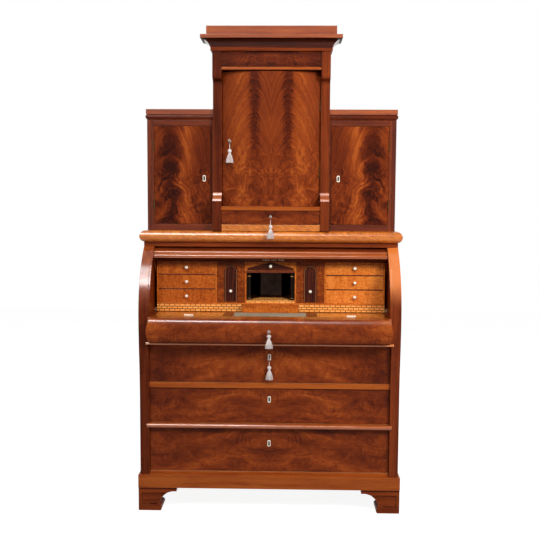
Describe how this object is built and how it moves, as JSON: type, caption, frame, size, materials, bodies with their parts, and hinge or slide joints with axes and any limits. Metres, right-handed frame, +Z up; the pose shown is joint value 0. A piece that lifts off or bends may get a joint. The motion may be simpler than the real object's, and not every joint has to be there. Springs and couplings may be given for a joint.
{
  "type": "cylinder desk",
  "caption": "Upright mahogany desk with a roll-open cylinder over a fitted maple interior, a pull-out writing slide, long drawers below and stepped cabinets above.",
  "frame": {"origin": "on the floor, under the middle of the overall box", "axes": "+X to the sitter's right, +Y from the sitter towards the back, +Z up"},
  "size_m": [1.112, 0.7, 2.019],
  "materials": {
    "mahogany": "french-polished flame mahogany veneer",
    "secondary_wood": "plain unpolished softwood and oak",
    "maple": "polished bird's-eye maple",
    "rosewood": "polished rosewood",
    "ebony": "ebonised and polished",
    "mirror": "silvered glass",
    "leather": "worn grey-green leather",
    "brass": "aged brass",
    "silk": "pale silk thread"
  },
  "bodies": {
    "carcase": {"left_side_panel": "mahogany", "right_side_panel": "mahogany", "lower_back_panel": "secondary_wood", "bottom_board": "secondary_wood", "plinth_frame": "mahogany", "front_feet": "mahogany", "rear_feet": "mahogany", "bead_rails": "mahogany", "plain_rails": "mahogany", "dust_boards": "secondary_wood", "slide_guides": "secondary_wood", "desk_top": "mahogany", "frieze_rail": "mahogany", "interior_case": "maple", "interior_plinth": "maple", "niche_mirror": "mirror", "niche_columns": "ebony", "left_cabinet_case": "mahogany", "right_cabinet_case": "mahogany", "side_cabinet_tops": "mahogany", "centre_cabinet_case": "mahogany", "centre_pilasters": "mahogany", "centre_rails": "mahogany", "cornice": "mahogany", "hinge_pins": "brass"},
    "cylinder": {"cylinder_shell": "mahogany", "cylinder_pull_rail": "mahogany", "cylinder_arms": "mahogany"},
    "slide": {"slide_bolster": "mahogany", "slide_tray": "maple", "leather_pad": "leather"},
    "left_lid": {"left_lid": "maple"},
    "right_lid": {"right_lid": "maple"},
    "upper_drawer": {"upper_drawer_front": "mahogany", "upper_drawer_box": "secondary_wood"},
    "middle_drawer": {"middle_drawer_front": "mahogany", "middle_drawer_box": "secondary_wood"},
    "lower_drawer": {"lower_drawer_front": "mahogany", "lower_drawer_box": "secondary_wood"},
    "left_top_drawer": {"left_top_drawer": "maple"},
    "left_middle_drawer": {"left_middle_drawer": "maple"},
    "left_bottom_drawer": {"left_bottom_drawer": "maple"},
    "left_document_drawer": {"left_document_drawer": "maple"},
    "right_top_drawer": {"right_top_drawer": "maple"},
    "right_middle_drawer": {"right_middle_drawer": "maple"},
    "right_bottom_drawer": {"right_bottom_drawer": "maple"},
    "right_document_drawer": {"right_document_drawer": "maple"},
    "pediment_drawer": {"pediment_drawer": "rosewood"},
    "centre_drawer": {"centre_drawer": "mahogany"},
    "left_door": {"left_door": "mahogany"},
    "right_door": {"right_door": "mahogany"},
    "centre_door": {"centre_door": "mahogany"},
    "slide_key": {"slide_key": "brass"},
    "slide_tassel": {"slide_tassel": "silk"},
    "upper_drawer_key": {"upper_drawer_key": "brass"},
    "upper_drawer_tassel": {"upper_drawer_tassel": "silk"},
    "centre_door_key": {"centre_door_key": "brass"},
    "centre_door_tassel": {"centre_door_tassel": "silk"},
    "centre_drawer_key": {"centre_drawer_key": "brass"},
    "centre_drawer_tassel": {"centre_drawer_tassel": "silk"}
  },
  "joints": [
    {"name": "cylinder_roll", "type": "hinge", "parent": "carcase", "child": "cylinder", "pos_m": [0, 0.06, 0.86], "axis": [-1, 0, 0], "range_deg": [-52.5, 0]},
    {"name": "writing_slide", "type": "slide", "parent": "carcase", "child": "slide", "axis": [0, -1, 0], "range_m": [0, 0.26]},
    {"name": "left_lid_hinge", "type": "hinge", "parent": "slide", "child": "left_lid", "pos_m": [0, -0.0875, 0.824], "axis": [-1, 0, 0], "range_deg": [0, 75]},
    {"name": "right_lid_hinge", "type": "hinge", "parent": "slide", "child": "right_lid", "pos_m": [0, -0.0875, 0.824], "axis": [-1, 0, 0], "range_deg": [0, 75]},
    {"name": "upper_drawer_slide", "type": "slide", "parent": "carcase", "child": "upper_drawer", "axis": [0, -1, 0], "range_m": [0, 0.38]},
    {"name": "middle_drawer_slide", "type": "slide", "parent": "carcase", "child": "middle_drawer", "axis": [0, -1, 0], "range_m": [0, 0.38]},
    {"name": "lower_drawer_slide", "type": "slide", "parent": "carcase", "child": "lower_drawer", "axis": [0, -1, 0], "range_m": [0, 0.38]},
    {"name": "left_top_drawer_slide", "type": "slide", "parent": "carcase", "child": "left_top_drawer", "axis": [0, -1, 0], "range_m": [0, 0.15]},
    {"name": "left_middle_drawer_slide", "type": "slide", "parent": "carcase", "child": "left_middle_drawer", "axis": [0, -1, 0], "range_m": [0, 0.15]},
    {"name": "left_bottom_drawer_slide", "type": "slide", "parent": "carcase", "child": "left_bottom_drawer", "axis": [0, -1, 0], "range_m": [0, 0.15]},
    {"name": "left_document_drawer_slide", "type": "slide", "parent": "carcase", "child": "left_document_drawer", "axis": [0, -1, 0], "range_m": [0, 0.15]},
    {"name": "right_top_drawer_slide", "type": "slide", "parent": "carcase", "child": "right_top_drawer", "axis": [0, -1, 0], "range_m": [0, 0.15]},
    {"name": "right_middle_drawer_slide", "type": "slide", "parent": "carcase", "child": "right_middle_drawer", "axis": [0, -1, 0], "range_m": [0, 0.15]},
    {"name": "right_bottom_drawer_slide", "type": "slide", "parent": "carcase", "child": "right_bottom_drawer", "axis": [0, -1, 0], "range_m": [0, 0.15]},
    {"name": "right_document_drawer_slide", "type": "slide", "parent": "carcase", "child": "right_document_drawer", "axis": [0, -1, 0], "range_m": [0, 0.15]},
    {"name": "pediment_drawer_slide", "type": "slide", "parent": "carcase", "child": "pediment_drawer", "axis": [0, -1, 0], "range_m": [0, 0.15]},
    {"name": "centre_drawer_slide", "type": "slide", "parent": "carcase", "child": "centre_drawer", "axis": [0, -1, 0], "range_m": [0, 0.26]},
    {"name": "left_door_hinge", "type": "hinge", "parent": "carcase", "child": "left_door", "pos_m": [-0.499, -0.0749, 1.415], "axis": [0, 0, -1], "range_deg": [0, 100]},
    {"name": "right_door_hinge", "type": "hinge", "parent": "carcase", "child": "right_door", "pos_m": [0.499, -0.0749, 1.415], "axis": [0, 0, 1], "range_deg": [0, 100]},
    {"name": "centre_door_hinge", "type": "hinge", "parent": "carcase", "child": "centre_door", "pos_m": [0.2051, -0.08192, 1.561], "axis": [0, 0, 1], "range_deg": [0, 75]},
    {"name": "slide_key_turn", "type": "hinge", "parent": "slide", "child": "slide_key", "pos_m": [0, -0.3235, 0.7795], "axis": [0, 1, 0], "range_deg": [0, 90]},
    {"name": "slide_tassel_turn", "type": "hinge", "parent": "slide", "child": "slide_tassel", "pos_m": [0, -0.3235, 0.7795], "axis": [0, 1, 0], "range_deg": [-12, 12]},
    {"name": "upper_drawer_key_turn", "type": "hinge", "parent": "upper_drawer", "child": "upper_drawer_key", "pos_m": [0, -0.2285, 0.6535], "axis": [0, 1, 0], "range_deg": [0, 90]},
    {"name": "upper_drawer_tassel_turn", "type": "hinge", "parent": "upper_drawer", "child": "upper_drawer_tassel", "pos_m": [0, -0.2285, 0.6535], "axis": [0, 1, 0], "range_deg": [-12, 12]},
    {"name": "centre_door_key_turn", "type": "hinge", "parent": "centre_door", "child": "centre_door_key", "pos_m": [-0.1736, -0.11749, 1.551], "axis": [0, 1, 0], "range_deg": [0, 90]},
    {"name": "centre_door_tassel_turn", "type": "hinge", "parent": "centre_door", "child": "centre_door_tassel", "pos_m": [-0.1736, -0.11749, 1.551], "axis": [0, 1, 0], "range_deg": [-12, 12]},
    {"name": "centre_drawer_key_turn", "type": "hinge", "parent": "centre_drawer", "child": "centre_drawer_key", "pos_m": [0, -0.1435, 1.235], "axis": [0, 1, 0], "range_deg": [0, 90]},
    {"name": "centre_drawer_tassel_turn", "type": "hinge", "parent": "centre_drawer", "child": "centre_drawer_tassel", "pos_m": [0, -0.1435, 1.235], "axis": [0, 1, 0], "range_deg": [-12, 12]}
  ]
}
